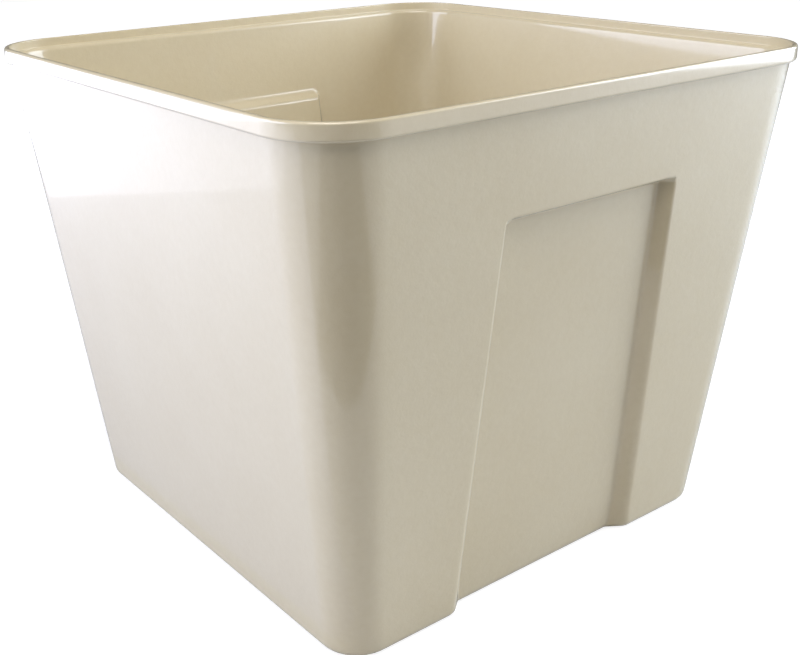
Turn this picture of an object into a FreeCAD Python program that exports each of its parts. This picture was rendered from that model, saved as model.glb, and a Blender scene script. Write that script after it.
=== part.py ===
import FreeCAD, Part

import os

import Sketcher

# A square, tapered cheese mould: a moulded tub, a perforated drain plate that stands on its floor,
# and a follower, the plate that presses the curd. Millimetres, +Z up, origin in the middle of the
# face that the tub stands on. The two panels that step inwards are on the -Y and +Y walls.

SIZES = [
    # alias, value, what it measures
    ("tub_height", 250, "rest face to the top of the rim"),
    ("base_width", 246.8, "outside of the walls at the rest face"),
    ("rim_width", 304, "outside of the rim band"),
    ("base_corner", 20, "outer corner radius at the rest face"),
    ("rim_corner", 34, "outer corner radius of the rim band"),
    ("wall", 2.8, "wall thickness"),
    ("floor_thickness", 3.2, "floor of the tub"),
    ("rim_height", 7.5, "height of the rim band"),
    ("rim_overhang", 2.75, "how far the rim band stands out from the wall"),
    ("rim_wall", 2.4, "thickness of the rim band above the seat"),
    ("seat_depth", 4.5, "seat inside the rim, below its top"),
    ("panel_depth", 6.25, "how far a panel steps in, along Y"),
    ("panel_margin", 44, "top of a panel below the rim band"),
    ("panel_base_width", 120, "opening of a panel at the rest face"),
    ("panel_top_width", 107, "opening of a panel at its top"),
    ("panel_side_draft", 4.5, "how much each side of a panel leans in over its depth"),
    ("panel_top_draft", 3, "how much the top of a panel leans down over its depth"),
    ("panel_edge_round", 2.6, "round on a panel's outer edges"),
    ("panel_inner_round", 2.2, "round in a panel's inner corners"),
    ("boss_edge_round", 2.4, "round on the panel's edges inside the tub"),
    ("rest_edge_round", 1.2, "round on the bottom edge"),
    ("floor_round", 2.5, "round between the floor and the walls"),
    ("rim_top_round", 1.1, "round on the rim's outer top edge"),
    ("rim_lip_round", 0.6, "round on the rim's inner top edge"),
    ("rim_band_round", 1.2, "round under the rim band"),
    ("seat_round", 2.2, "round on the inner edge of the seat"),
    ("drain_hole", 4, "drain hole in the floor, diameter"),
    ("drain_pitch", 24, "spacing of the drain holes"),
    ("drain_count", 9, "drain holes in a row"),
    ("plate_thickness", 3, "drain plate"),
    ("plate_gap", 1.5, "drain plate to the walls"),
    ("plate_hole", 3, "hole in the drain plate, diameter"),
    ("plate_pitch", 14, "spacing of the holes in the drain plate"),
    ("plate_count", 15, "holes in a row of the drain plate"),
    ("stud_height", 6, "studs under the drain plate"),
    ("stud_width", 9, "diameter of a stud"),
    ("stud_count", 6, "studs in a row"),
    ("stud_step", 3, "hole spacings from one stud to the next"),
    ("follower_level", 120, "underside of the follower, where the taper stops it"),
    ("follower_gap", 0.4, "follower to the walls"),
    ("follower_thickness", 5, "pressing plate of the follower"),
    ("skirt_height", 22, "whole height of the follower's skirt"),
    ("skirt_wall", 3, "thickness of the skirt"),
    ("hollow_corner", 12, "corner radius inside the skirt"),
    ("rib_height", 18, "top of the ribs above the follower's underside"),
    ("rib_width", 4, "thickness of a rib"),
    ("rib_pitch", 60, "spacing of the ribs"),
    ("grip_spacing", 60, "distance between the two finger grips"),
    ("grip_width", 8, "thickness of a finger grip"),
    ("grip_length", 118, "length of a finger grip"),
    ("grip_lean", 6, "how much shorter a finger grip is at its top, each end"),
    ("grip_height", 48, "top of a finger grip above the follower's underside"),
    ("grip_round", 3, "round on a grip's upper edges"),
    ("grip_post", 14, "width of a grip's posts"),
    ("grip_bar", 9, "depth of a grip's bar"),
    ("opening_corner", 6, "corner radius of the opening under the bar"),
    ("peg_width", 6, "diameter of the pegs under the posts"),
    ("peg_gap", 0.1, "a peg in its hole, all round"),
    ("peg_recess", 0.6, "peg end above the follower's underside"),
]

# Sizes that follow from the ones in the sheet, as text for the expressions.
BODY_HEIGHT = "(sizes.tub_height - sizes.rim_height)"
BASE_HALF = "(sizes.base_width / 2)"
RIM_HALF = "(sizes.rim_width / 2)"
PANEL_TOP = f"({BODY_HEIGHT} - sizes.panel_margin)"
BODY_TOP_HALF = f"({RIM_HALF} - sizes.rim_overhang)"
BODY_TOP_CORNER = "(sizes.rim_corner - sizes.rim_overhang)"
TAPER = f"(({BODY_TOP_HALF} - {BASE_HALF}) / {BODY_HEIGHT})"
CORNER_TAPER = f"(({BODY_TOP_CORNER} - sizes.base_corner) / {BODY_HEIGHT})"
PLATE_LEVEL = "(sizes.floor_thickness + sizes.stud_height)"

# The follower's two grips: which side of the middle, and the start of the name.
GRIP_SIDES = [(-1, "front"), (1, "rear")]

# Cuts start this far outside the material, so that no face is left in the opening.
CUT_MARGIN = "2"

doc = FreeCAD.newDocument("cheese_mould")
sheet = doc.addObject("Spreadsheet::Sheet", "sizes")


def fillSheet():
    for row, (alias, size, meaning) in enumerate(SIZES, start=1):
        sheet.set(f"A{row}", alias)
        sheet.set(f"B{row}", str(size))
        sheet.set(f"C{row}", meaning)
        sheet.setAlias(f"B{row}", alias)
    doc.recompute()


def numberOf(text):
    return float(sheet.evalExpression(text))


def outerHalf(level):
    return f"({BASE_HALF} + {TAPER} * ({level}))"


def innerHalf(level):
    return f"({outerHalf(level)} - sizes.wall)"


def innerCorner(level):
    return f"(sizes.base_corner + {CORNER_TAPER} * ({level}) - sizes.wall)"


# ---- sketches ----


def newBody(name):
    body = doc.addObject("PartDesign::Body", name)
    body.Label = name
    return body


def planeOf(body, role):
    return next(feature for feature in body.Origin.OriginFeatures if feature.Role == role)


def newSketch(body, name, role="XY_Plane", offset="0"):
    sketch = body.newObject("Sketcher::SketchObject", name)
    sketch.AttachmentSupport = [(planeOf(body, role), "")]
    sketch.MapMode = "FlatFace"
    sketch.setExpression(".AttachmentOffset.Base.z", offset)
    return sketch


def bind(sketch, constraint, name, text):
    sketch.addConstraint(constraint)
    sketch.renameConstraint(sketch.ConstraintCount - 1, name)
    sketch.setExpression(f"Constraints.{name}", text)


def place(sketch, geometry, point, axis, text):
    """Hold a point at a signed distance from the sketch's origin."""
    name = f"at_{axis}_{geometry}_{point}"
    size = numberOf(text)
    kind = f"Distance{axis}"
    if size >= 0:
        bind(sketch, Sketcher.Constraint(kind, -1, 1, geometry, point, size), name, text)
    else:
        bind(sketch, Sketcher.Constraint(kind, geometry, point, -1, 1, -size), name, f"-1 * ({text})")


def roundedRectangle(sketch, left, right, low, high, radius):
    """A closed outline of four lines and four corner arcs, held at its arcs' centres."""
    size = numberOf(radius)
    x0, x1, y0, y1 = (numberOf(text) for text in (left, right, low, high))
    centres = [
        (x1 - size, y1 - size),
        (x0 + size, y1 - size),
        (x0 + size, y0 + size),
        (x1 - size, y0 + size),
    ]
    quarter = Part.Circle(FreeCAD.Vector(), FreeCAD.Vector(0, 0, 1), size)
    for corner, (x, y) in enumerate(centres):
        quarter.Center = FreeCAD.Vector(x, y, 0)
        start = FreeCAD.Units.Quantity(90 * corner, "deg").getValueAs("rad").Value
        end = FreeCAD.Units.Quantity(90 * (corner + 1), "deg").getValueAs("rad").Value
        sketch.addGeometry(Part.ArcOfCircle(quarter, start, end))
    for corner in range(4):
        first = sketch.Geometry[corner].EndPoint
        last = sketch.Geometry[(corner + 1) % 4].StartPoint
        sketch.addGeometry(Part.LineSegment(first, last))
    for corner in range(4):
        line = corner + 4
        sketch.addConstraint(Sketcher.Constraint("Tangent", corner, 2, line, 1))
        sketch.addConstraint(Sketcher.Constraint("Tangent", line, 2, (corner + 1) % 4, 1))
    for corner in (1, 2, 3):
        sketch.addConstraint(Sketcher.Constraint("Equal", 0, corner))
    sketch.addConstraint(Sketcher.Constraint("Horizontal", 0, 3, 1, 3))
    sketch.addConstraint(Sketcher.Constraint("Vertical", 1, 3, 2, 3))
    bind(sketch, Sketcher.Constraint("Radius", 0, size), "corner", radius)
    place(sketch, 0, 3, "X", f"({right}) - ({radius})")
    place(sketch, 0, 3, "Y", f"({high}) - ({radius})")
    place(sketch, 2, 3, "X", f"({left}) + ({radius})")
    place(sketch, 2, 3, "Y", f"({low}) + ({radius})")


def roundedSquare(sketch, half, radius):
    roundedRectangle(sketch, f"-1 * {half}", half, f"-1 * {half}", half, radius)


def trapezoid(sketch, lowHalf, highHalf, low, high):
    """Four lines, the same on both sides of the sketch's vertical axis."""
    x0, x1, y0, y1 = (numberOf(text) for text in (lowHalf, highHalf, low, high))
    points = [FreeCAD.Vector(x, y, 0) for x, y in ((-x0, y0), (x0, y0), (x1, y1), (-x1, y1))]
    for side in range(4):
        sketch.addGeometry(Part.LineSegment(points[side], points[(side + 1) % 4]))
    for side in range(4):
        sketch.addConstraint(Sketcher.Constraint("Coincident", side, 2, (side + 1) % 4, 1))
    sketch.addConstraint(Sketcher.Constraint("Symmetric", 0, 1, 0, 2, -2))
    sketch.addConstraint(Sketcher.Constraint("Symmetric", 2, 1, 2, 2, -2))
    place(sketch, 0, 2, "X", lowHalf)
    place(sketch, 2, 1, "X", highHalf)
    place(sketch, 0, 2, "Y", low)
    place(sketch, 2, 1, "Y", high)


def rectangle(sketch, half, low, high):
    trapezoid(sketch, half, half, low, high)


def circle(sketch, x, y, diameter):
    centre = FreeCAD.Vector(numberOf(x), numberOf(y), 0)
    radius = numberOf(diameter) / 2
    sketch.addGeometry(Part.Circle(centre, FreeCAD.Vector(0, 0, 1), radius))
    bind(sketch, Sketcher.Constraint("Radius", 0, radius), "hole", f"({diameter}) / 2")
    place(sketch, 0, 3, "X", x)
    place(sketch, 0, 3, "Y", y)


# ---- features ----


def pad(body, name, sketch, length):
    feature = body.newObject("PartDesign::Pad", name)
    feature.Profile = sketch
    feature.setExpression("Length", length)
    return feature


def pocket(body, name, sketch, length=None, upwards=False):
    """Cut downwards from the sketch, or upwards; right through when no length is given."""
    feature = body.newObject("PartDesign::Pocket", name)
    feature.Profile = sketch
    feature.Reversed = upwards
    if length is None:
        feature.Type = "ThroughAll"
    else:
        feature.setExpression("Length", length)
    return feature


def loft(body, kind, name, first, second):
    feature = body.newObject(f"PartDesign::{kind}Loft", name)
    feature.Profile = first
    feature.Sections = [second]
    feature.Ruled = True
    return feature


def mirror(body, name, originals, role):
    feature = body.newObject("PartDesign::Mirrored", name)
    feature.Originals = originals
    feature.MirrorPlane = (planeOf(body, role), [""])
    body.Tip = feature
    return feature


def grid(body, name, original, count, pitch):
    """Repeat a feature in equal rows along X and Y, starting at the original."""
    feature = body.newObject("PartDesign::MultiTransform", name)
    feature.Originals = [original]
    rows = []
    for axis in ("X", "Y"):
        row = doc.addObject("PartDesign::LinearPattern", f"{name}_{axis}")
        body.addObject(row)
        row.Direction = (planeOf(body, f"{axis}_Axis"), [""])
        row.setExpression("Length", f"(({count}) - 1) * ({pitch})")
        row.setExpression("Occurrences", count)
        rows.append(row)
    feature.Transformations = rows
    body.Tip = feature
    return feature


def gridStart(count, pitch):
    return f"-1 * (({count}) - 1) * ({pitch}) / 2"


def roundEdges(body, name, radius, isWanted):
    """Fillet the edges of the body for which isWanted(edge) is true."""
    doc.recompute()
    base = body.Tip
    names = [f"Edge{number}" for number, edge in enumerate(base.Shape.Edges, start=1) if isWanted(edge)]
    if not names:
        raise RuntimeError(f"{body.Label}: no edges found for {name}")
    feature = body.newObject("PartDesign::Fillet", name)
    feature.Base = (base, names)
    feature.setExpression("Radius", radius)
    doc.recompute()
    return feature


def middleOf(edge):
    return edge.valueAt((edge.FirstParameter + edge.LastParameter) / 2)


def isNear(first, second, tolerance=0.02):
    return abs(first - second) < tolerance


def isLevel(edge, level):
    box = edge.BoundBox
    return isNear(box.ZMin, level) and isNear(box.ZMax, level)


# ---- tub ----


def wallSketch(body, name, outward):
    """A sketch on the -Y wall, tilted with it, moved out from the wall's outer face."""
    sketch = newSketch(body, name, "XZ_Plane", f"{BASE_HALF} + ({outward})")
    placement = sketch.AttachmentOffset
    placement.Rotation = FreeCAD.Rotation(FreeCAD.Vector(1, 0, 0), 1)
    sketch.AttachmentOffset = placement
    sketch.setExpression(".AttachmentOffset.Rotation.Angle", f"atan({TAPER})")
    return sketch


def panelOutline(sketch, inward, sideShift, topShift, below):
    """The panel's outline on a sketch that lies inward of the wall, moved out by the two shifts."""
    lean = f"({inward}) / sizes.panel_depth"
    widening = f"(sizes.panel_base_width - sizes.panel_top_width) / 2 / {PANEL_TOP}"
    baseHalf = f"(sizes.panel_base_width / 2 - {lean} * sizes.panel_side_draft + ({sideShift}))"
    topHalf = f"(sizes.panel_top_width / 2 - {lean} * sizes.panel_side_draft + ({sideShift}))"
    top = f"({PANEL_TOP} - {lean} * sizes.panel_top_draft + ({topShift}))"
    trapezoid(sketch, f"{baseHalf} + {widening} * ({below})", topHalf, f"-1 * ({below})", top)


def makePanels(body):
    """The boss inside the wall first, then the recess that is cut into it from outside."""
    rootDepth = "(sizes.wall / 2)"
    faceDepth = "(sizes.panel_depth + sizes.wall)"
    inFloor = "-1 * sizes.floor_thickness / 2"
    outlines = []
    for name, depth in (("boss_root", rootDepth), ("boss_face", faceDepth)):
        sketch = wallSketch(body, name, f"-1 * {depth}")
        panelOutline(sketch, f"{depth} - sizes.wall", "sizes.wall", "sizes.wall", inFloor)
        outlines.append(sketch)
    boss = loft(body, "Additive", "boss", *outlines)
    outlines = []
    for name, depth in (("recess_mouth", f"(-1 * {CUT_MARGIN})"), ("recess_face", "sizes.panel_depth")):
        sketch = wallSketch(body, name, f"-1 * {depth}")
        panelOutline(sketch, depth, "0", "0", "sizes.panel_depth")
        outlines.append(sketch)
    recess = loft(body, "Subtractive", "recess", *outlines)
    mirror(body, "rear_panel", [boss, recess], "XZ_Plane")


def makeTub():
    body = newBody("mould_body")
    base = newSketch(body, "base_outline")
    roundedSquare(base, BASE_HALF, "sizes.base_corner")
    top = newSketch(body, "body_top_outline", offset=BODY_HEIGHT)
    roundedSquare(top, BODY_TOP_HALF, BODY_TOP_CORNER)
    loft(body, "Additive", "walls", base, top)

    band = newSketch(body, "band_outline", offset=BODY_HEIGHT)
    roundedSquare(band, RIM_HALF, "sizes.rim_corner")
    pad(body, "rim_band", band, "sizes.rim_height")

    low = newSketch(body, "cavity_floor", offset="sizes.floor_thickness")
    roundedSquare(low, innerHalf("sizes.floor_thickness"), innerCorner("sizes.floor_thickness"))
    high = newSketch(body, "cavity_mouth", offset="sizes.tub_height")
    roundedSquare(high, innerHalf("sizes.tub_height"), innerCorner("sizes.tub_height"))
    loft(body, "Subtractive", "cavity", low, high)

    seat = newSketch(body, "seat_outline", offset="sizes.tub_height")
    roundedSquare(seat, f"({RIM_HALF} - sizes.rim_wall)", "(sizes.rim_corner - sizes.rim_wall)")
    pocket(body, "seat", seat, "sizes.seat_depth")

    makePanels(body)
    roundTub(body)

    hole = newSketch(body, "drain_hole_outline", offset="sizes.floor_thickness")
    start = gridStart("sizes.drain_count", "sizes.drain_pitch")
    circle(hole, start, start, "sizes.drain_hole")
    first = pocket(body, "drain_hole_cut", hole, "2 * sizes.floor_thickness")
    grid(body, "drain_holes", first, "sizes.drain_count", "sizes.drain_pitch")
    return body


def roundTub(body):
    baseHalf = numberOf(BASE_HALF)
    taper = numberOf(TAPER)
    wall = numberOf("sizes.wall")
    depth = numberOf("sizes.panel_depth")
    panelTop = numberOf(PANEL_TOP)
    panelHalf = numberOf("sizes.panel_base_width / 2")

    def depthInWall(edge):
        """How far the edge's middle lies inside the plane of the outer wall, along Y."""
        point = middleOf(edge)
        return baseHalf + taper * point.z - abs(point.y)

    def isPanelEdge(edge, wantedDepth):
        box = edge.BoundBox
        inBand = abs(middleOf(edge).x) < panelHalf + wall and box.ZMax < panelTop + 3 * wall
        return inBand and isNear(depthInWall(edge), wantedDepth) and box.ZMax > panelTop / 2

    roundEdges(body, "panel_edge_rounds", "sizes.panel_edge_round", lambda edge: isPanelEdge(edge, 0))
    roundEdges(body, "panel_inner_rounds", "sizes.panel_inner_round", lambda edge: isPanelEdge(edge, depth))
    roundEdges(body, "rest_edge_round", "sizes.rest_edge_round", lambda edge: isLevel(edge, 0))
    roundEdges(body, "boss_rounds", "sizes.boss_edge_round", lambda edge: isPanelEdge(edge, depth + wall))

    rimHalf = numberOf(RIM_HALF)
    tubTop = numberOf("sizes.tub_height")
    bandBottom = numberOf(BODY_HEIGHT)
    seatLevel = tubTop - numberOf("sizes.seat_depth")
    lipHalf = rimHalf - numberOf("sizes.rim_wall")
    seatHalf = numberOf(innerHalf("sizes.tub_height - sizes.seat_depth"))

    def loopAt(level, half):
        """Edges of the rounded square of this half width at this level, arcs included."""
        def isWanted(edge):
            box = edge.BoundBox
            reach = max(abs(box.XMin), abs(box.XMax), abs(box.YMin), abs(box.YMax))
            return isLevel(edge, level) and isNear(reach, half)
        return isWanted

    roundEdges(body, "rim_top_round", "sizes.rim_top_round", loopAt(tubTop, rimHalf))
    roundEdges(body, "rim_lip_round", "sizes.rim_lip_round", loopAt(tubTop, lipHalf))
    roundEdges(body, "rim_band_round", "sizes.rim_band_round", loopAt(bandBottom, rimHalf))
    roundEdges(body, "seat_round", "sizes.seat_round", loopAt(seatLevel, seatHalf))
    floor = numberOf("sizes.floor_thickness")
    roundEdges(body, "floor_round", "sizes.floor_round", lambda edge: isLevel(edge, floor))


# ---- plates inside the tub ----


def cutPanelNotches(body, level, gap, height):
    """Room for the two bosses, from the plate's underside up, where the boss reaches furthest."""
    sketch = newSketch(body, "notch_outline", offset=level)
    lean = "(sizes.panel_side_draft + sizes.wall)"
    near = f"({innerHalf(level)} - sizes.panel_depth - ({gap}))"
    far = f"({innerHalf(f'{level} + {height}')} + {CUT_MARGIN})"
    half = f"(sizes.panel_base_width / 2 + {lean} + ({gap}))"
    rectangle(sketch, half, f"-1 * {far}", f"-1 * {near}")
    notch = pocket(body, "front_notch", sketch, upwards=True)
    mirror(body, "rear_notch", [notch], "XZ_Plane")


def makeDrainPlate():
    body = newBody("drain_plate")
    outline = newSketch(body, "plate_outline", offset=PLATE_LEVEL)
    half = f"({innerHalf(PLATE_LEVEL)} - sizes.plate_gap)"
    roundedSquare(outline, half, f"({innerCorner(PLATE_LEVEL)} - sizes.plate_gap)")
    pad(body, "plate", outline, "sizes.plate_thickness")
    cutPanelNotches(body, PLATE_LEVEL, "sizes.plate_gap", "sizes.plate_thickness")

    studPitch = "(sizes.stud_step * sizes.plate_pitch)"
    studStart = gridStart("sizes.stud_count", studPitch)
    stud = newSketch(body, "stud_outline", offset="sizes.floor_thickness")
    circle(stud, studStart, studStart, "sizes.stud_width")
    first = pad(body, "stud", stud, "(sizes.stud_height + sizes.plate_thickness / 2)")
    grid(body, "studs", first, "sizes.stud_count", studPitch)

    start = gridStart("sizes.plate_count", "sizes.plate_pitch")
    hole = newSketch(body, "hole_outline", offset=f"{PLATE_LEVEL} + sizes.plate_thickness")
    circle(hole, start, start, "sizes.plate_hole")
    cut = pocket(body, "hole", hole, "2 * sizes.plate_thickness")
    grid(body, "holes", cut, "sizes.plate_count", "sizes.plate_pitch")
    return body


def makeFollower():
    body = newBody("follower")
    level = "sizes.follower_level"
    skirtTop = "(sizes.follower_level + sizes.skirt_height)"
    plateTop = "(sizes.follower_level + sizes.follower_thickness)"
    outlines = []
    for name, height in (("underside_outline", level), ("skirt_top_outline", skirtTop)):
        sketch = newSketch(body, name, offset=height)
        half = f"({innerHalf(height)} - sizes.follower_gap)"
        roundedSquare(sketch, half, f"({innerCorner(height)} - sizes.follower_gap)")
        outlines.append(sketch)
    loft(body, "Additive", "block", *outlines)
    cutPanelNotches(body, level, "sizes.follower_gap", "sizes.skirt_height")
    hollowFollower(body, level, plateTop)
    makeRibs(body, level, plateTop)
    drillPegHoles(body, plateTop)
    return body


def hollowFollower(body, level, plateTop):
    """Three pockets that leave the skirt standing, also round the notches."""
    innerSide = f"({innerHalf(plateTop)} - sizes.follower_gap - sizes.skirt_wall)"
    notchNear = f"({innerHalf(level)} - sizes.panel_depth - sizes.follower_gap)"
    notchHalf = "(sizes.panel_base_width / 2 + sizes.panel_side_draft + sizes.wall + sizes.follower_gap)"
    middle = newSketch(body, "middle_outline", offset=plateTop)
    reach = f"({notchNear} - sizes.skirt_wall)"
    rectangle(middle, f"({innerSide} - sizes.hollow_corner)", f"-1 * {reach}", reach)
    pocket(body, "middle_hollow", middle, upwards=True)
    side = newSketch(body, "side_outline", offset=plateTop)
    left = f"({notchHalf} + sizes.skirt_wall)"
    roundedRectangle(side, left, innerSide, f"-1 * {innerSide}", innerSide, "sizes.hollow_corner")
    hollow = pocket(body, "side_hollow", side, upwards=True)
    mirror(body, "other_side_hollow", [hollow], "YZ_Plane")


def makeRibs(body, level, plateTop):
    """Ribs across the plate both ways, from the plate up, ending inside the skirt."""
    height = "(sizes.rib_height - sizes.follower_thickness)"
    reach = f"({innerHalf(level)} - sizes.follower_gap - sizes.skirt_wall / 2)"
    notchReach = f"({reach} - sizes.panel_depth)"
    across = newSketch(body, "cross_rib_outline", offset=plateTop)
    low = "(sizes.rib_pitch - sizes.rib_width / 2)"
    rectangle(across, reach, low, f"({low} + sizes.rib_width)")
    first = pad(body, "cross_rib", across, height)
    mirror(body, "other_cross_rib", [first], "XZ_Plane")
    middle = newSketch(body, "middle_rib_outline", offset=plateTop)
    rectangle(middle, "(sizes.rib_width / 2)", f"-1 * {notchReach}", notchReach)
    pad(body, "middle_rib", middle, height)


def pegPlaces(side):
    """The two pegs of a grip: X and Y of each, as text. The side is -1 for the front and 1 for the rear."""
    reach = "(sizes.grip_length / 2 - sizes.grip_post / 2)"
    return [(f"{end} * {reach}", f"{side} * sizes.grip_spacing / 2") for end in (-1, 1)]


def drillPegHoles(body, plateTop):
    for side, sideName in GRIP_SIDES:
        for number, (x, y) in enumerate(pegPlaces(side), start=1):
            sketch = newSketch(body, f"{sideName}_peg_hole_{number}_outline", offset=plateTop)
            circle(sketch, x, y, "(sizes.peg_width + 2 * sizes.peg_gap)")
            pocket(body, f"{sideName}_peg_hole_{number}", sketch, "2 * sizes.follower_thickness")


def makeGrip(side, sideName):
    """A bridge handle: two posts and a bar, with a peg under each post that goes through the plate."""
    body = newBody(f"{sideName}_grip")
    level = "sizes.follower_level"
    plateTop = "(sizes.follower_level + sizes.follower_thickness)"
    middle = f"-1 * {side} * sizes.grip_spacing / 2"
    web = newSketch(body, "web_outline", "XZ_Plane", f"{middle} - sizes.grip_width / 2")
    top = f"({level} + sizes.grip_height)"
    half = "(sizes.grip_length / 2)"
    trapezoid(web, half, f"({half} - sizes.grip_lean)", plateTop, top)
    pad(body, "web", web, "sizes.grip_width")
    opening = newSketch(body, "opening_outline", "XZ_Plane", f"{middle} + sizes.grip_width")
    reach = f"({half} - sizes.grip_post)"
    barUnderside = f"({top} - sizes.grip_bar)"
    below = f"({plateTop} - 2 * sizes.opening_corner)"
    roundedRectangle(opening, f"-1 * {reach}", reach, below, barUnderside, "sizes.opening_corner")
    pocket(body, "finger_opening", opening, "2 * sizes.grip_width")
    gripTop = numberOf(top)
    roundEdges(body, "grip_rounds", "sizes.grip_round", lambda edge: isLevel(edge, gripTop))
    pegBottom = f"({level} + sizes.peg_recess)"
    for number, (x, y) in enumerate(pegPlaces(side), start=1):
        sketch = newSketch(body, f"peg_{number}_outline", offset=pegBottom)
        circle(sketch, x, y, "sizes.peg_width")
        pad(body, f"peg_{number}", sketch, "sizes.follower_thickness")
    return body


# ---- checks and export ----


def checkDocument(bodies):
    for thing in doc.Objects:
        if "Invalid" in thing.State or "Error" in thing.State:
            raise RuntimeError(f"{thing.Label} failed: {thing.State}")
    for body in bodies:
        if body.Shape.isNull() or not body.Shape.isValid():
            raise RuntimeError(f"{body.Label} has no valid shape")
        if len(body.Shape.Solids) != 1:
            raise RuntimeError(f"{body.Label} is {len(body.Shape.Solids)} solids, not one")


fillSheet()
bodies = [makeTub(), makeDrainPlate(), makeFollower()]
bodies += [makeGrip(side, sideName) for side, sideName in GRIP_SIDES]
doc.recompute()
checkDocument(bodies)
os.makedirs("parts", exist_ok=True)
for body in bodies:
    body.Shape.exportStep(f"parts/{body.Label}.step")
    print(f"{body.Label}: {body.Shape.Volume / 1000:.1f} cm3")
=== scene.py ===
from math import atan2, cos, pi, radians, sin, tan

import bmesh
import bpy
import numpy as np
from mathutils import Matrix, Vector


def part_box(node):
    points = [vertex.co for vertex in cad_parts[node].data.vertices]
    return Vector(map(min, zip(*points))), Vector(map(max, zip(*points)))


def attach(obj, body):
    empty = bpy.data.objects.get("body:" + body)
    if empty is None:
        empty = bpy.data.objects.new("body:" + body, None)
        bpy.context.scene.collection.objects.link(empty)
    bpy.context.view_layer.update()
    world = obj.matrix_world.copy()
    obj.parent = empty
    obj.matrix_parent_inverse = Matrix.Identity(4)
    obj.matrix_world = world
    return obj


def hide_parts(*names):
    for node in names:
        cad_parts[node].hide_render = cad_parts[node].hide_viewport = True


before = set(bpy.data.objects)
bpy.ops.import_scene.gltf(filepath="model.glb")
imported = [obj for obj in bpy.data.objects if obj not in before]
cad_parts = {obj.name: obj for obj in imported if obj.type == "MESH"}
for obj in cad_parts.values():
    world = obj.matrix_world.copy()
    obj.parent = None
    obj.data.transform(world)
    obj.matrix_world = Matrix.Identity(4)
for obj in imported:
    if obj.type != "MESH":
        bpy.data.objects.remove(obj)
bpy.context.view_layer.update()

scene = bpy.context.scene
mm = 0.001


view = dict(
    azimuth=-37.27, elevation=20.74, roll=-1.186,  # degrees
    distance=0.6179, target=(-0.0128, 0.0018, 0.1088),
    lens=50.81, shiftX=0.0386, shiftY=-0.0251,
)


def addCamera():
    around, up = radians(view["azimuth"]), radians(view["elevation"])
    back = Vector((sin(around) * cos(up), -cos(around) * cos(up), sin(up)))
    right = Vector((0, 0, 1)).cross(back).normalized()
    turned = Matrix((right, back.cross(right), back)).transposed()
    turned = turned @ Matrix.Rotation(radians(view["roll"]), 3, "Z")
    data = bpy.data.cameras.new("camera")
    data.lens = view["lens"]
    data.shift_x, data.shift_y = view["shiftX"], view["shiftY"]
    data.clip_start, data.clip_end = 0.02, 50
    camera = bpy.data.objects.new("camera", data)
    place = Vector(view["target"]) + back * view["distance"]
    camera.matrix_world = Matrix.Translation(place) @ turned.to_4x4()
    scene.collection.objects.link(camera)
    scene.camera = camera


addCamera()
print("camera ready")


# One socket of a material's tree. Arithmetic on it adds Math nodes.
class Wire:

    def __init__(self, tree, socket):
        self.tree, self.socket = tree, socket

    def math(self, operation, *others):
        operands = {0: self, **dict(enumerate(others, 1))}
        return addNode(self.tree, "ShaderNodeMath", {"operation": operation}, operands)[0]

    def __add__(self, other):
        return self.math("ADD", other)

    def __sub__(self, other):
        return self.math("SUBTRACT", other)

    def __rsub__(self, other):
        return addNode(self.tree, "ShaderNodeMath", {"operation": "SUBTRACT"}, {0: other, 1: self})[0]

    def __mul__(self, other):
        return self.math("MULTIPLY", other)

    def __truediv__(self, other):
        return self.math("DIVIDE", other)

    __radd__ = __add__
    __rmul__ = __mul__

    def clamped(self):
        return self.math("MAXIMUM", 0.0).math("MINIMUM", 1.0)


# Any node: its settings first, then the values or links of its sockets. Gives its outputs as wires.
def addNode(tree, kind, settings=None, sockets=None):
    node = tree.nodes.new(kind)
    for name, value in (settings or {}).items():
        setattr(node, name, value)
    for key, value in (sockets or {}).items():
        if isinstance(value, Wire):
            tree.links.new(value.socket, node.inputs[key])
        else:
            node.inputs[key].default_value = value
    return [Wire(tree, socket) for socket in node.outputs]


def newMaterial(name):
    material = bpy.data.materials.new(name)
    material.use_nodes = True
    material.node_tree.nodes.clear()
    return material, material.node_tree


def finishMaterial(tree, shader):
    addNode(tree, "ShaderNodeOutputMaterial", None, {"Surface": shader})


def mixColours(tree, share, first, second):
    outputs = addNode(tree, "ShaderNodeMix", {"data_type": "RGBA"}, {0: share, 6: first, 7: second})
    return outputs[2]


def objectPoint(tree):
    return addNode(tree, "ShaderNodeTexCoord")[3]


def noise(tree, point, scale, detail=2.0, roughness=0.5):
    return addNode(tree, "ShaderNodeTexNoise", None,
                   {"Vector": point, "Scale": scale, "Detail": detail, "Roughness": roughness})[0]


mouldedPlastic = dict(
    colour=(0.64, 0.545, 0.355, 1), paleColour=(0.70, 0.615, 0.43, 1),
    roughness=0.30, roughnessSpread=0.06, ior=1.49, coat=1.0, coatRoughness=0.06,
    grainScale=900, grainHeight=0.00006, waveScale=14, waveHeight=0.0004,
)


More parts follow.
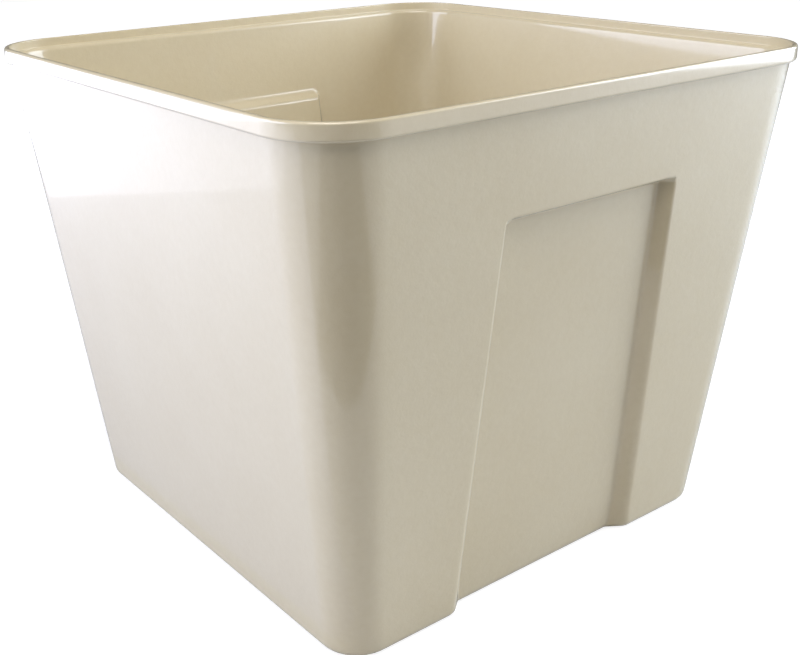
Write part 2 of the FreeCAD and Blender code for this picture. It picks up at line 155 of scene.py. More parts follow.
# Moulded plastic: a fine spark-eroded grain, slow waviness from shrinkage, and faint cloudiness.
def plasticMaterial(name, look):
    material, tree = newMaterial(name)
    point = objectPoint(tree)
    grain = noise(tree, point, look["grainScale"], 2.0, 0.6)
    speckle = noise(tree, point, look["grainScale"] / 3, 1.0, 0.5)
    cloud = noise(tree, point, look["waveScale"], 3.0, 0.55)
    share = (cloud * 1.6 - 0.3).clamped() * 0.7 + (speckle - 0.5) * 0.5
    colour = mixColours(tree, share.clamped(), look["colour"], look["paleColour"])
    roughness = look["roughness"] + (grain - 0.5) * look["roughnessSpread"]
    wave = addNode(tree, "ShaderNodeBump", None,
                   {"Strength": 1.0, "Distance": look["waveHeight"], "Height": cloud})[0]
    fine = addNode(tree, "ShaderNodeBump", None, {
        "Strength": 1.0, "Distance": look["grainHeight"], "Height": grain + speckle, "Normal": wave})[0]
    shader = addNode(tree, "ShaderNodeBsdfPrincipled", None, {
        "Base Color": colour, "Roughness": roughness, "Normal": fine,
        "IOR": look["ior"], "Coat Weight": look["coat"], "Coat Roughness": look["coatRoughness"],
    })[0]
    finishMaterial(tree, shader)
    return material


tubPlastic = plasticMaterial("tub_plastic", mouldedPlastic)
platePlastic = plasticMaterial("plate_plastic", dict(
    mouldedPlastic, colour=(0.64, 0.63, 0.57, 1), paleColour=(0.69, 0.68, 0.63, 1), roughness=0.42))
gripPlastic = plasticMaterial("grip_plastic", dict(
    mouldedPlastic, colour=(0.58, 0.57, 0.50, 1), paleColour=(0.63, 0.62, 0.56, 1), roughness=0.38))
print("materials ready")


# Outlines: a square with rounded corners, whose front and back sides may step in.
steps = dict(cornerTurns=14, arcTurns=6, flat=5, side=12, sideX=12, clear=2 * mm)


# Where the columns of a side stand, from its middle to its corner, and how far each steps in.
def notchColumns(straight, notch):
    mouth, depth, draft = notch["mouth"], notch["depth"], notch["draft"]
    lean = atan2(depth, draft)
    outside = notch["edgeRound"] * tan(lean / 2)
    inside = notch["innerRound"] * tan(lean / 2)
    floorEnd = mouth - draft - inside
    x = list(np.linspace(0, floorEnd - steps["clear"], steps["flat"]))
    inset = [depth] * steps["flat"]
    for turn in np.linspace(0, lean, steps["arcTurns"]):
        x.append(floorEnd + notch["innerRound"] * sin(turn))
        inset.append(depth - notch["innerRound"] * (1 - cos(turn)))
    for turn in np.linspace(lean, 0, steps["arcTurns"]):
        x.append(mouth + outside - notch["edgeRound"] * sin(turn))
        inset.append(notch["edgeRound"] * (1 - cos(turn)))
    for spot in np.linspace(mouth + outside + steps["clear"], straight, steps["side"]):
        x.append(spot)
        inset.append(0)
    return np.array(x), np.array(inset)


# One ring, anticlockwise from the front side. stepLeft is how much of the notch's depth is still missing.
def outline(half, corner, notch, stepLeft=0.0):
    straight = half - corner
    x, inset = notchColumns(straight, notch)
    depth = notch["depth"]
    missing = (np.clip(1 - inset / depth, 0, 1) ** 3 + stepLeft ** 3) ** (1 / 3)
    inset = depth * (1 - np.minimum(missing, 1))
    x = np.concatenate([-x[:0:-1], x])
    inset = np.concatenate([inset[:0:-1], inset])
    front = np.stack([x, -half + inset], 1)
    turns = np.linspace(0, pi / 2, steps["cornerTurns"] + 1)[1:-1]
    arc = np.stack([straight + corner * np.sin(turns), -straight - corner * np.cos(turns)], 1)
    y = np.linspace(-straight, straight, steps["sideX"])
    right = np.stack([np.full(len(y), half), y], 1)
    otherArc = np.stack([arc[::-1, 0], -arc[::-1, 1]], 1)
    lower = np.concatenate([front, arc, right, otherArc])
    return np.concatenate([lower, -lower])


# The ring moved inwards by this distance, square to its own line.
def drawnIn(ring, distance):
    edge = np.roll(ring, -1, 0) - ring
    edge /= np.linalg.norm(edge, axis=1)[:, None]
    normal = np.stack([-edge[:, 1], edge[:, 0]], 1)
    both = normal + np.roll(normal, 1, 0)
    both /= (both ** 2).sum(1)[:, None] / 2
    return ring + both * distance


def quarter(count):
    return np.linspace(0, pi / 2, count)


# A closed skin through rings that all have the same number of points.
class Shell:

    def __init__(self):
        self.rings = []

    def add(self, level, ring):
        levels = np.broadcast_to(np.asarray(level, float), (len(ring),))
        self.rings.append(np.column_stack([ring, levels]))

    def mesh(self, name):
        points = np.concatenate(self.rings)
        count = len(self.rings[0])
        faces = []
        for row in range(len(self.rings) - 1):
            a, b = row * count, (row + 1) * count
            faces += [(a + i, a + (i + 1) % count, b + (i + 1) % count, b + i) for i in range(count)]
        last = (len(self.rings) - 1) * count
        faces.append(tuple(range(count)))
        faces.append(tuple(last + i for i in range(count)))
        mesh = bpy.data.meshes.new(name)
        mesh.from_pydata([tuple(p) for p in points], [], faces)
        work = bmesh.new()
        work.from_mesh(mesh)
        bmesh.ops.recalc_face_normals(work, faces=work.faces)
        work.to_mesh(mesh)
        work.free()
        mesh.polygons.foreach_set("use_smooth", [True] * len(mesh.polygons))
        return mesh


def newPiece(name, mesh, material):
    piece = bpy.data.objects.new(name, mesh)
    mesh.materials.clear()
    mesh.materials.append(material)
    scene.collection.objects.link(piece)
    return piece


# Turns what the piece's modifiers show into its plain mesh.
def settle(piece):
    graph = bpy.context.evaluated_depsgraph_get()
    graph.update()
    done = bpy.data.meshes.new_from_object(piece.evaluated_get(graph))
    piece.modifiers.clear()
    piece.data = done
    done.name = piece.name
    return piece


def renumber(elements, key):
    for number, element in enumerate(sorted(elements, key=key)):
        element.index = number
    elements.sort()


# A boolean may number the same points differently from run to run, so its result is put in order of place.
def inOrder(mesh):
    work = bmesh.new()
    work.from_mesh(mesh)
    renumber(work.verts, lambda vertex: tuple(vertex.co))
    renumber(work.edges, lambda edge: sorted(vertex.index for vertex in edge.verts))
    renumber(work.faces, lambda face: sorted(vertex.index for vertex in face.verts))
    work.to_mesh(mesh)
    work.free()


# Large flat faces keep their own direction, and only the rounds between them blend.
def flattenShading(piece):
    modifier = piece.modifiers.new("weighted normals", "WEIGHTED_NORMAL")
    modifier.weight = 100
    modifier.mode = "FACE_AREA"
    modifier.keep_sharp = True


# A tool mesh on every point of a grid, cut out of the piece or joined to it.
def rowsTree(name, operation):
    tree = bpy.data.node_groups.new(name, "GeometryNodeTree")
    face = tree.interface
    face.new_socket("Geometry", in_out="INPUT", socket_type="NodeSocketGeometry")
    for label, kind in (("Tool", "Object"), ("Across", "Int"), ("Along", "Int"), ("Pitch Across", "Float"),
                        ("Pitch Along", "Float"), ("Material", "Material")):
        face.new_socket(label, in_out="INPUT", socket_type=f"NodeSocket{kind}")
    face.new_socket("Geometry", in_out="OUTPUT", socket_type="NodeSocketGeometry")
    source = tree.nodes.new("NodeGroupInput")
    given = {socket.name: Wire(tree, socket) for socket in source.outputs if socket.name}
    points = addNode(tree, "GeometryNodeMeshGrid", None, {
        "Size X": (given["Across"] - 1) * given["Pitch Across"], "Vertices X": given["Across"],
        "Size Y": (given["Along"] - 1) * given["Pitch Along"], "Vertices Y": given["Along"]})[0]
    tool = {wire.socket.name: wire for wire in addNode(tree, "GeometryNodeObjectInfo", None, {
        "Object": given["Tool"]})}["Geometry"]
    placed = addNode(tree, "GeometryNodeInstanceOnPoints", None, {"Points": points, "Instance": tool})[0]
    tools = addNode(tree, "GeometryNodeRealizeInstances", None, {"Geometry": placed})[0]
    meet = tree.nodes.new("GeometryNodeMeshBoolean")
    meet.operation = operation
    tree.links.new(given["Geometry"].socket, meet.inputs[1 if operation == "UNION" else 0])
    tree.links.new(tools.socket, meet.inputs[1])
    coated = addNode(tree, "GeometryNodeSetMaterial", None, {
        "Geometry": Wire(tree, meet.outputs[0]), "Material": given["Material"]})[0]
    end = tree.nodes.new("NodeGroupOutput")
    tree.links.new(coated.socket, end.inputs[0])
    return tree


cutRows = rowsTree("rows_of_cuts", "DIFFERENCE")
joinRows = rowsTree("rows_of_bosses", "UNION")


# Puts the tree on the piece, sets its inputs by their identifiers, and keeps what it makes.
def repeat(piece, tree, tool, across, along, pitchAcross, pitchAlong):
    modifier = piece.modifiers.new("rows", "NODES")
    modifier.node_group = tree
    values = {"Tool": tool, "Across": across, "Along": along, "Pitch Across": pitchAcross,
              "Pitch Along": pitchAlong, "Material": piece.data.materials[0]}
    for item in tree.interface.items_tree:
        if item.item_type == "SOCKET" and item.in_out == "INPUT" and item.name in values:
            modifier[item.identifier] = values[item.name]
    settle(piece)
    inOrder(piece.data)
    toolMesh = tool.data
    bpy.data.objects.remove(tool)
    bpy.data.meshes.remove(toolMesh)


def disc(radius, sides):
    turns = np.linspace(0, 2 * pi, sides, endpoint=False)
    return radius * np.stack([np.cos(turns), np.sin(turns)], 1)


# A turned shape from pairs of radius and level, bottom first.
def turned(name, profile, sides):
    shell = Shell()
    for radius, level in profile:
        shell.add(level, disc(radius, sides))
    return bpy.data.objects.new(name, shell.mesh(name))


# A hole's tool, with a small chamfer at both faces.
def holeTool(diameter, low, high, chamfer=0.3 * mm, sides=20):
    radius, past = diameter / 2, 0.5 * mm
    return turned("hole", [
        (radius + chamfer + past, low - past), (radius, low + chamfer),
        (radius, high - chamfer), (radius + chamfer + past, high + past),
    ], sides)


# A slab with this outline, rounded at its lower and upper edges.
def slab(ring, low, high, lowRound, highRound, rim=0.4 * mm):
    shell = Shell()
    shell.add(low, drawnIn(ring, lowRound + rim))
    for turn in quarter(4 if lowRound else 1):
        shell.add(low + lowRound * (1 - cos(turn)), drawnIn(ring, lowRound * (1 - sin(turn))))
    for turn in quarter(5):
        shell.add(high - highRound * (1 - sin(turn)), drawnIn(ring, highRound * (1 - cos(turn))))
    shell.add(high, drawnIn(ring, highRound + rim))
    return shell


# Sharp corners stay sharp, flat faces stay flat, and the rounds between them blend.
def finishPiece(piece, body, cadNode):
    piece.data.set_sharp_from_angle(angle=radians(38))
    flattenShading(piece)
    settle(piece)
    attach(piece, body)
    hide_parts(cadNode)
    print(piece.name, "ready,", len(piece.data.polygons), "faces")


tubLow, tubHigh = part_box("mould_body")
tub = dict(
    height=tubHigh.z, rimHalf=tubHigh.x, baseHalf=123.4 * mm, baseCorner=20 * mm, rimCorner=34 * mm,
    wall=2.8 * mm, floor=3.2 * mm, rimHeight=7.5 * mm, overhang=2.75 * mm, rimWall=2.4 * mm, seat=4.5 * mm,
    panelDepth=6.25 * mm, panelHeight=198.5 * mm, panelBase=60 * mm, panelTop=53.5 * mm,
    sideDraft=4.5 * mm, topDraft=3 * mm,
    edgeRoundBase=7 * mm, edgeRoundTop=1.6 * mm, innerRoundBase=3 * mm, innerRoundTop=1.4 * mm,
    bossRootRound=3.5 * mm, bossEdgeRound=3 * mm, footFlare=5 * mm, flareHeight=14 * mm, flareShare=3,
    cap=0.4 * mm, restClear=1.5 * mm, bandClear=1 * mm, bandDrop=0.2 * mm, bandLap=0.3 * mm,
    restRound=3.4 * mm, floorRound=2.6 * mm, rimTopRound=1.2 * mm, lipRound=0.6 * mm, bandRound=1.3 * mm,
    seatRound=2.3 * mm, seatCorner=0.5 * mm,
    drainAcross=9, drainPitch=24 * mm, drainHole=4 * mm,
)
bodyTop = tub["height"] - tub["rimHeight"]
bodyTopHalf = tub["rimHalf"] - tub["overhang"]
taper = (bodyTopHalf - tub["baseHalf"]) / bodyTop
cornerTaper = (tub["rimCorner"] - tub["overhang"] - tub["baseCorner"]) / bodyTop


def outerHalf(level):
    return tub["baseHalf"] + taper * level


def innerHalf(level):
    return outerHalf(level) - tub["wall"]


def outerCorner(level):
    return tub["baseCorner"] + cornerTaper * level


# The panel's cross-section at a level. It narrows upwards, its rounds get tighter, and its foot flares.
def panelNotch(level, widen=0.0, edgeRound=None, innerRound=None):
    rise = min(max(level / tub["panelHeight"], 0), 1)
    flare = tub["footFlare"] * max(1 - level / tub["flareHeight"], 0) ** 2
    mouth = tub["panelBase"] + (tub["panelTop"] - tub["panelBase"]) * level / tub["panelHeight"] + widen
    edge = tub["edgeRoundBase"] + (tub["edgeRoundTop"] - tub["edgeRoundBase"]) * rise
    inner = tub["innerRoundBase"] + (tub["innerRoundTop"] - tub["innerRoundBase"]) * rise
    return dict(
        mouth=mouth + flare / tub["flareShare"], depth=tub["panelDepth"], draft=tub["sideDraft"] + flare,
        edgeRound=edgeRound or edge, innerRound=innerRound or inner,
    )


# Levels down from the panel's top edge, each with the share of its depth that is missing there.
def panelRows(top, edgeRound, innerRound):
    depth, draft = tub["panelDepth"], tub["topDraft"]
    lean = atan2(depth, draft)
    outside, inside = edgeRound * tan(lean / 2), innerRound * tan(lean / 2)
    rows = []
    for turn in np.linspace(0, lean, steps["arcTurns"]):
        rows.append((top + outside - edgeRound * sin(turn), 1 - edgeRound * (1 - cos(turn)) / depth))
    for turn in np.linspace(lean, 0, steps["arcTurns"]):
        rows.append((top - draft - inside + innerRound * sin(turn), innerRound * (1 - cos(turn)) / depth))
    return rows


def outerRing(level, stepLeft=0.0):
    return outline(outerHalf(level), outerCorner(level), panelNotch(level), stepLeft)


def innerRing(level, stepLeft=0.0):
    notch = panelNotch(level, tub["wall"], tub["bossRootRound"], tub["bossEdgeRound"])
    return outline(innerHalf(level), outerCorner(level) - tub["wall"], notch, stepLeft)


# A ring with no step, for the rim. Its columns stand over the panel's.
def plainRing(half, corner):
    return outline(half, corner, panelNotch(bodyTop), 1.0)


def tubShell():
    shell = Shell()
    rest = tub["restRound"]
    base = outerRing(0)
    shell.add(0, drawnIn(base, rest + tub["cap"]))
    for turn in quarter(5):
        level = rest * (1 - cos(turn))
        shell.add(level, drawnIn(outerRing(level), rest * (1 - sin(turn))))
    rows = panelRows(tub["panelHeight"], tub["edgeRoundTop"], tub["innerRoundTop"])
    lowest = min(level for level, missing in rows)
    for level in np.linspace(rest + tub["restClear"], lowest - steps["clear"], 14):
        shell.add(level, outerRing(level))
    for level, missing in rows[::-1]:
        shell.add(level, outerRing(level, missing))
    highest = rows[0][0]
    for level in np.linspace(highest + steps["clear"], bodyTop - tub["bandClear"], 5):
        shell.add(level, outerRing(level, 1.0))
    addRim(shell)
    bossTop = tub["panelHeight"] + tub["wall"]
    rows = panelRows(bossTop, tub["bossRootRound"], tub["bossEdgeRound"])
    highest, lowest = rows[0][0], rows[-1][0]
    seatEnd = tub["height"] - tub["seat"] - tub["seatRound"]
    for level in np.linspace(seatEnd - steps["clear"], highest + steps["clear"], 5):
        shell.add(level, innerRing(level, 1.0))
    for level, missing in rows:
        shell.add(level, innerRing(level, missing))
    floorRound = tub["floorRound"]
    for level in np.linspace(lowest - steps["clear"], tub["floor"] + floorRound + steps["clear"], 14):
        shell.add(level, innerRing(level))
    lastRing = innerRing(tub["floor"] + floorRound)
    for turn in quarter(6):
        level = tub["floor"] + floorRound * (1 - sin(turn))
        shell.add(level, drawnIn(lastRing, floorRound * (1 - cos(turn))))
    shell.add(tub["floor"], drawnIn(lastRing, floorRound + tub["cap"]))
    return shell


def addRim(shell):
    top, rimHalf, corner = tub["height"], tub["rimHalf"], tub["rimCorner"]
    rim = plainRing(rimHalf, corner)
    under, over, lip = tub["bandRound"], tub["rimTopRound"], tub["lipRound"]
    wall, seatCorner, seatRound = tub["rimWall"], tub["seatCorner"], tub["seatRound"]
    shell.add(bodyTop - tub["bandDrop"], outerRing(bodyTop, 1.0))
    shell.add(bodyTop, drawnIn(plainRing(bodyTopHalf, corner - tub["overhang"]), -tub["bandLap"]))
    shell.add(bodyTop, drawnIn(rim, under))
    for turn in quarter(6)[1:]:
        shell.add(bodyTop + under * (1 - cos(turn)), drawnIn(rim, under * (1 - sin(turn))))
    for turn in quarter(7):
        shell.add(top - over * (1 - sin(turn)), drawnIn(rim, over * (1 - cos(turn))))
    for turn in quarter(5):
        shell.add(top - lip * (1 - cos(turn)), drawnIn(rim, wall - lip * (1 - sin(turn))))
    seatLevel = top - tub["seat"]
    for turn in quarter(4):
        level = seatLevel + seatCorner * (1 - sin(turn))
        shell.add(level, drawnIn(rim, wall + seatCorner * (1 - cos(turn))))
    edge = innerRing(seatLevel - seatRound, 1.0)
    for turn in quarter(8):
        shell.add(seatLevel - seatRound * (1 - cos(turn)), drawnIn(edge, -seatRound * (1 - sin(turn))))


def makeTub():
    piece = newPiece("tub", tubShell().mesh("tub"), tubPlastic)
    tool = holeTool(tub["drainHole"], 0, tub["floor"])
    count, pitch = tub["drainAcross"], tub["drainPitch"]
    repeat(piece, cutRows, tool, count, count, pitch, pitch)
    finishPiece(piece, "tub", "mould_body")


makeTub()


trayLow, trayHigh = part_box("drain_plate")
tray = dict(
    half=trayHigh.x, top=trayHigh.z, foot=trayLow.z, thickness=3 * mm, gap=1.5 * mm,
    notchHalf=68.8 * mm, notchDraft=0.8 * mm, notchRound=2 * mm,
    underRound=0.5 * mm, topRound=0.8 * mm,
    hole=3 * mm, pitch=14 * mm, across=15,
    studWidth=9 * mm, studStep=3, studsAcross=6, studRound=0.8 * mm, studSink=0.6 * mm,
)


# The corner radius of a loose plate at this level, this far from the wall.
def plateCorner(level, gap):
    return outerCorner(level) - tub["wall"] - gap


def straightNotch(half, depth, draft, corner):
    return dict(mouth=half, depth=depth, draft=draft, edgeRound=corner, innerRound=corner)


def studTool(underside):
    radius, soft = tray["studWidth"] / 2, tray["studRound"]
    profile = []
    for turn in quarter(4):
        profile.append((radius - soft * (1 - sin(turn)), tray["foot"] + soft * (1 - cos(turn))))
    for turn in quarter(4)[:-1]:
        profile.append((radius + soft * (1 - cos(turn)), underside - soft * (1 - sin(turn))))
    profile.append((radius + soft, underside + tray["studSink"]))
    return turned("stud", profile, 24)


def makeTray():
    underside = tray["top"] - tray["thickness"]
    notch = straightNotch(tray["notchHalf"], tub["panelDepth"], tray["notchDraft"], tray["notchRound"])
    ring = outline(tray["half"], plateCorner(underside, tray["gap"]), notch)
    mesh = slab(ring, underside, tray["top"], tray["underRound"], tray["topRound"]).mesh("drain_tray")
    piece = newPiece("drain_tray", mesh, platePlastic)
    count, pitch = tray["studsAcross"], tray["studStep"] * tray["pitch"]
    repeat(piece, joinRows, studTool(underside), count, count, pitch, pitch)
    count, pitch = tray["across"], tray["pitch"]
    tool = holeTool(tray["hole"], underside, tray["top"], sides=16)
    repeat(piece, cutRows, tool, count, count, pitch, pitch)
    finishPiece(piece, "drain_plate", "drain_plate")


makeTray()


pressLow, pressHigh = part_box("follower")
gripLow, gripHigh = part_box("front_grip")
press = dict(
    low=pressLow.z, top=pressHigh.z, gap=0.4 * mm, thickness=5 * mm, skirt=3 * mm, hollowCorner=12 * mm,
    notchHalf=67.7 * mm, notchDraft=0.6 * mm, notchRound=3 * mm, hollowRound=3.4 * mm,
    underRound=1.2 * mm, lipRound=1 * mm, rootRound=2.5 * mm, rim=0.4 * mm,
    ribTop=18 * mm, ribWidth=4 * mm, ribPitch=60 * mm, ribRound=1 * mm, ribSink=0.5 * mm, ribDrop=0.3 * mm,
    pegHole=6.2 * mm,
)
grip = dict(
    half=gripHigh.x, width=gripHigh.y - gripLow.y, top=gripHigh.z, pegEnd=gripLow.z, lean=6 * mm,
    post=14 * mm, bar=9 * mm, openingRound=6 * mm, shoulderRound=9 * mm, edgeRound=2.5 * mm,
    cap=0.5 * mm, pegWidth=6 * mm, pegChamfer=0.5 * mm, pegSink=1 * mm,
)
grip["pegPitch"] = 2 * grip["half"] - grip["post"]
grip["offset"] = (gripLow.y + gripHigh.y) / 2


def pressHalf(level):
    return innerHalf(level) - press["gap"]


def pressRing(level):
    near = pressHalf(press["low"]) - tub["panelDepth"]
    depth = pressHalf(level) - near
    notch = straightNotch(press["notchHalf"], depth, press["notchDraft"], press["notchRound"])
    return outline(pressHalf(level), plateCorner(level, press["gap"]), notch)


def hollowRing(floor):
    half = pressHalf(floor) - press["skirt"]
    near = pressHalf(press["low"]) - tub["panelDepth"] - press["skirt"]
    reach = press["notchHalf"] + press["skirt"]
    notch = straightNotch(reach, half - near, press["notchDraft"], press["hollowRound"])
    return outline(half, press["hollowCorner"], notch)


def pressShell(floor):
    shell = Shell()
    under, lip, root = press["underRound"], press["lipRound"], press["rootRound"]
    low, top = press["low"], press["top"]
    shell.add(low, drawnIn(pressRing(low), under + press["rim"]))
    for turn in quarter(5):
        shell.add(low + under * (1 - cos(turn)), drawnIn(pressRing(low), under * (1 - sin(turn))))
    for turn in quarter(5):
        shell.add(top - lip * (1 - sin(turn)), drawnIn(pressRing(top - lip), lip * (1 - cos(turn))))
    hollow = hollowRing(floor)
    for turn in quarter(5):
        shell.add(top - lip * (1 - cos(turn)), drawnIn(hollow, -lip * (1 - sin(turn))))
    for turn in quarter(6):
        shell.add(floor + root * (1 - sin(turn)), drawnIn(hollow, root * (1 - cos(turn))))
    shell.add(floor, drawnIn(hollow, root + press["rim"]))
    return shell


def ribTool(halfX, halfY, floor, drop=0.0):
    ring = np.array([(-halfX, -halfY), (halfX, -halfY), (halfX, halfY), (-halfX, halfY)])
    top = press["low"] + press["ribTop"] - drop
    shell = slab(ring, floor - press["ribSink"], top, 0, press["ribRound"])
    return bpy.data.objects.new("rib", shell.mesh("rib"))


def makePress():
    floor = press["low"] + press["thickness"]
    piece = newPiece("pressing_plate", pressShell(floor).mesh("pressing_plate"), platePlastic)
    reach = pressHalf(press["low"]) - press["skirt"] / 2
    halfRib = press["ribWidth"] / 2
    repeat(piece, joinRows, ribTool(reach, halfRib, floor), 1, 2, 0, 2 * press["ribPitch"])
    middle = ribTool(halfRib, reach - tub["panelDepth"], floor, press["ribDrop"])
    repeat(piece, joinRows, middle, 1, 1, 0, 0)
    tool = holeTool(press["pegHole"], press["low"], floor, sides=28)
    repeat(piece, cutRows, tool, 2, 2, grip["pegPitch"], 2 * abs(grip["offset"]))
    finishPiece(piece, "follower", "follower")


makePress()


# A closed outline through these corners, each rounded with its own radius.
def roundedPath(corners, radii, turns=8):
    points = []
    for number, (corner, radius) in enumerate(zip(corners, radii)):
        here = Vector(corner)
        back = (Vector(corners[number - 1]) - here).normalized()
        ahead = (Vector(corners[(number + 1) % len(corners)]) - here).normalized()
        if not radius:
            points.append(here)
            continue
        half = back.angle(ahead) / 2
        centre = here + (back + ahead).normalized() * radius / sin(half)
        first = here + back * radius / tan(half) - centre
        turn = first.angle_signed(here + ahead * radius / tan(half) - centre)
        points += [centre + Matrix.Rotation(-turn * step / turns, 2) @ first for step in range(turns + 1)]
    return np.array([tuple(point) for point in points])


# The arch of a handle seen from the front. Its feet run on below the plate and are cut level there.
def handleArch(foot):
    half, post, edge = grip["half"], grip["post"], grip["edgeRound"]
    low, bar = foot - edge, grip["top"] - grip["bar"]
    slope = grip["lean"] / (grip["top"] - foot)
    wide = half + slope * edge
    shoulderX = half - grip["lean"]
    corners = [(-wide, low), (post - half, low), (post - half, bar), (half - post, bar), (half - post, low),
               (wide, low), (shoulderX, grip["top"]), (-shoulderX, grip["top"])]
    opening, shoulder = grip["openingRound"], grip["shoulderRound"]
    return roundedPath(corners, (0, 0, opening, opening, 0, 0, shoulder, shoulder))


def handleMesh(name, foot):
    arch, edge = handleArch(foot), grip["edgeRound"]
    side = grip["width"] / 2
    shell = Shell()
    shell.add(-side, drawnIn(arch, edge + grip["cap"]))
    for turn in quarter(6):
        shell.add(-side + edge * (1 - cos(turn)), drawnIn(arch, edge * (1 - sin(turn))))
    for turn in quarter(6):
        shell.add(side - edge * (1 - sin(turn)), drawnIn(arch, edge * (1 - cos(turn))))
    shell.add(side, drawnIn(arch, edge + grip["cap"]))
    for ring in shell.rings:
        ring[:, 0] = np.clip(ring[:, 0], -grip["half"], grip["half"])
        ring[:, 1] = np.maximum(ring[:, 1], foot)
        ring[:, 1:] = ring[:, :0:-1]
    return shell.mesh(name)


def makeHandle(name, cadNode, offset):
    foot = press["low"] + press["thickness"]
    piece = newPiece(name, handleMesh(name, foot), gripPlastic)
    radius, chamfer = grip["pegWidth"] / 2, grip["pegChamfer"]
    peg = turned("peg", [(radius - chamfer, grip["pegEnd"]), (radius, grip["pegEnd"] + chamfer),
                         (radius, foot + grip["pegSink"])], 24)
    repeat(piece, joinRows, peg, 2, 1, grip["pegPitch"], 0)
    piece.data.transform(Matrix.Translation((0, offset, 0)))
    finishPiece(piece, "follower", cadNode)


for handleName, cadNode, offset in (("front_handle", "front_grip", grip["offset"]),
                                    ("rear_handle", "rear_grip", -grip["offset"])):
    makeHandle(handleName, cadNode, offset)


# The camera sees a floor with a glow of its own, which rises to full white away from the tub.
studio = dict(
    floorSize=6.0, floorColour=(0.6, 0.6, 0.6, 1), shadowShare=0.3,
    glow=0.82, glowFrom=0.25, glowTo=0.75,
    background=(1.0, 1.0, 1.0, 1), ambient=0.1, cardColour=(0.97, 1.0, 1.22, 1),
)

# Soft boxes light the tub. Cards are only seen in its gloss, and all of them lie just above the floor.
lamps = [
    dict(name="left_box", place=(-1.0, 0.5, 0.5), target=(0, 0, 0.12), size=(1.0, 0.9), radiance=4.3,
         colour=(0.92, 1.0, 1.25)),
    dict(name="right_box", place=(1.0, -0.5, 0.5), target=(0, 0, 0.12), size=(0.9, 0.9), radiance=6.2,
         colour=(0.91, 1.0, 1.15)),
    dict(name="high_box", place=(-0.3, -0.35, 1.1), target=(0, 0, 0.1), size=(0.7, 0.7), radiance=4.6,
         colour=(1.04, 1.0, 0.98)),
]
cards = [
    # left_card's fade is painted shade: its glow dims near the tub, as a contact shadow would in the left
    # wall's reflection.
    dict(name="left_card", corner=(-1.3, -0.14), along=(1, 0), size=(1.17, 1.8), level=2 * mm,
         radiance=1.5, nearShare=0.4, fade=0.25),
    dict(name="far_card", corner=(-0.63, 0.06), along=(0.526, 0.85), size=(2.0, 1.2), level=3 * mm,
         radiance=2.0),
    dict(name="left_rim_card", corner=(-1.8, 0.95), along=(1, 0), size=(1.5, 1.5), level=4 * mm,
         radiance=4.0),
    dict(name="right_rim_card", corner=(0.3, -2.2), along=(1, 0), size=(2.3, 1.35), level=2 * mm,
         radiance=0.85),
    # dark_card is a black sheet seen only in the gloss: painted shade in the near corner's reflection,
    # where the lit floor would otherwise show.
    dict(name="dark_card", corner=(-0.36, -0.145), along=(0.80, -0.60), size=(0.45, -0.9), level=4 * mm,
         radiance=0.0),
]


def addFloor():
    side = studio["floorSize"] / 2
    mesh = bpy.data.meshes.new("floor")
    corners = [(-side, -side, 0), (side, -side, 0), (side, side, 0), (-side, side, 0)]
    mesh.from_pydata(corners, [], [(0, 1, 2, 3)])
    material, tree = newMaterial("floor")
    lit = addNode(tree, "ShaderNodeBsdfDiffuse", None, {"Color": studio["floorColour"]})[0]
    share = studio["shadowShare"]
    faint = addNode(tree, "ShaderNodeBsdfDiffuse", None, {"Color": (share, share, share, 1)})[0]
    far = addNode(tree, "ShaderNodeVectorMath", {"operation": "LENGTH"}, {0: objectPoint(tree)})[1]
    rise = ((far - studio["glowFrom"]) / (studio["glowTo"] - studio["glowFrom"])).clamped()
    glow = addNode(tree, "ShaderNodeEmission", None, {
        "Strength": rise * (1 - studio["glow"]) + studio["glow"]})[0]
    seen = addNode(tree, "ShaderNodeAddShader", None, {0: glow, 1: faint})[0]
    cameraRay = addNode(tree, "ShaderNodeLightPath")[0]
    finishMaterial(tree, addNode(tree, "ShaderNodeMixShader", None, {0: cameraRay, 1: lit, 2: seen})[0])
    newPiece("floor", mesh, material)
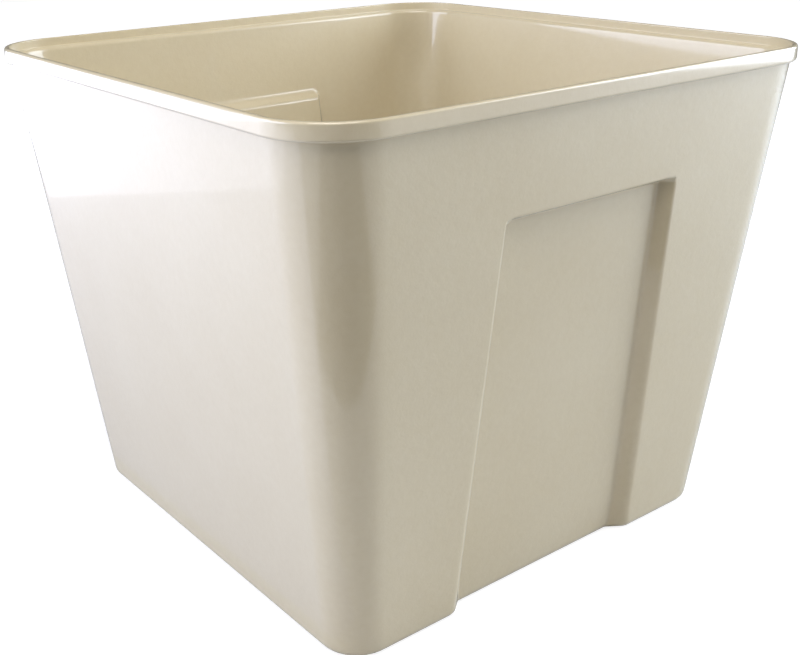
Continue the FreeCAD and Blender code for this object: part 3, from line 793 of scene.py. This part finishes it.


# A sheet that only shows in the gloss. Where it has a fade, its glow falls off towards the tub's left wall:
# painted shade that stands for the contact shadow on the floor, as the wall's lower part reflects it.
def addCard(card):
    along = Vector((*card["along"], 0))
    across = Vector((0, 0, 1)).cross(along)
    start = Vector((*card["corner"], card["level"]))
    width, height = card["size"]
    end = start + along * width
    corners = [start, end, end + across * height, start + across * height]
    mesh = bpy.data.meshes.new(card["name"])
    mesh.from_pydata([tuple(corner) for corner in corners], [], [(0, 1, 2, 3)])
    material, tree = newMaterial(card["name"])
    strength = card["radiance"]
    if "fade" in card:
        left = addNode(tree, "ShaderNodeSeparateXYZ", None, {0: objectPoint(tree)})[0]
        away = ((-tub["baseHalf"] - left) / card["fade"]).clamped()
        strength = (away * (1 - card["nearShare"]) + card["nearShare"]) * card["radiance"]
    finishMaterial(tree, addNode(tree, "ShaderNodeEmission", None, {
        "Color": studio["cardColour"], "Strength": strength})[0])
    sheet = newPiece(card["name"], mesh, material)
    sheet.visible_camera = sheet.visible_diffuse = sheet.visible_shadow = False


def addLight(name, width, height, radiance, matrix, colour):
    data = bpy.data.lights.new(name, "AREA")
    data.shape = "RECTANGLE"
    data.size, data.size_y = width, height
    data.energy = radiance * pi * width * height
    data.color = colour
    light = bpy.data.objects.new(name, data)
    light.matrix_world = matrix
    light.visible_camera = False
    scene.collection.objects.link(light)


def addLamps():
    for lamp in lamps:
        place = Vector(lamp["place"])
        turned = (Vector(lamp["target"]) - place).to_track_quat("-Z", "Y").to_matrix().to_4x4()
        matrix = Matrix.Translation(place) @ turned
        addLight(lamp["name"], *lamp["size"], lamp["radiance"], matrix, lamp["colour"])
    for card in cards:
        addCard(card)


def addWorld():
    world = bpy.data.worlds.new("studio")
    world.use_nodes = True
    tree = world.node_tree
    tree.nodes.clear()
    colour = studio["background"]
    seen = addNode(tree, "ShaderNodeBackground", None, {"Color": colour, "Strength": 1.0})[0]
    soft = addNode(tree, "ShaderNodeBackground", None, {"Color": colour, "Strength": studio["ambient"]})[0]
    cameraRay = addNode(tree, "ShaderNodeLightPath")[0]
    mixed = addNode(tree, "ShaderNodeMixShader", None, {0: cameraRay, 1: soft, 2: seen})[0]
    addNode(tree, "ShaderNodeOutputWorld", None, {"Surface": mixed})
    scene.world = world


addFloor()
addLamps()
addWorld()
scene.view_settings.view_transform = "Standard"
print("studio ready")
